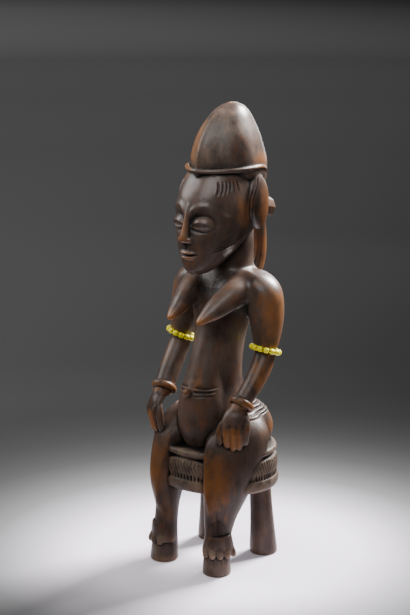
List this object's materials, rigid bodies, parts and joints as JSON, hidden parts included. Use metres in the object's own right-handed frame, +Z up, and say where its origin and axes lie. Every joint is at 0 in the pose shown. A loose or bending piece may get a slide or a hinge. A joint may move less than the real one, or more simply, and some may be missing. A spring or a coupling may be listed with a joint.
{
  "type": "carved seated female figure",
  "caption": "Seated woman with tall pointed hair and hands on her thighs, carved with her round stool from one block of dark wood, with glass beads round the arms.",
  "frame": {"origin": "on the floor under the middle of the whole carving", "axes": "+Z up along the figure, the figure looks along -Y, its left hand is on the +X side"},
  "size_m": [0.1066, 0.1104, 0.354],
  "materials": {
    "wood": "dark brown, oiled and handled to a soft sheen, worn to a warmer brown on shins, fingers and edges",
    "bead_glass": "opaque yellow glass, smooth and glossy",
    "thread": "thin twisted thread, dull"
  },
  "bodies": {
    "root": {"carved_figure": "wood", "left_armlet_thread": "thread", "left_armlet_bead_01": "bead_glass", "left_armlet_bead_02": "bead_glass", "left_armlet_bead_03": "bead_glass", "left_armlet_bead_04": "bead_glass", "left_armlet_bead_05": "bead_glass", "left_armlet_bead_06": "bead_glass", "left_armlet_bead_07": "bead_glass", "left_armlet_bead_08": "bead_glass", "left_armlet_bead_09": "bead_glass", "left_armlet_bead_10": "bead_glass", "left_armlet_bead_11": "bead_glass", "left_armlet_bead_12": "bead_glass", "left_armlet_bead_13": "bead_glass", "left_armlet_bead_14": "bead_glass", "right_armlet_thread": "thread", "right_armlet_bead_01": "bead_glass", "right_armlet_bead_02": "bead_glass", "right_armlet_bead_03": "bead_glass", "right_armlet_bead_04": "bead_glass", "right_armlet_bead_05": "bead_glass", "right_armlet_bead_06": "bead_glass", "right_armlet_bead_07": "bead_glass", "right_armlet_bead_08": "bead_glass", "right_armlet_bead_09": "bead_glass", "right_armlet_bead_10": "bead_glass", "right_armlet_bead_11": "bead_glass", "right_armlet_bead_12": "bead_glass", "right_armlet_bead_13": "bead_glass", "right_armlet_bead_14": "bead_glass"}
  },
  "joints": []
}
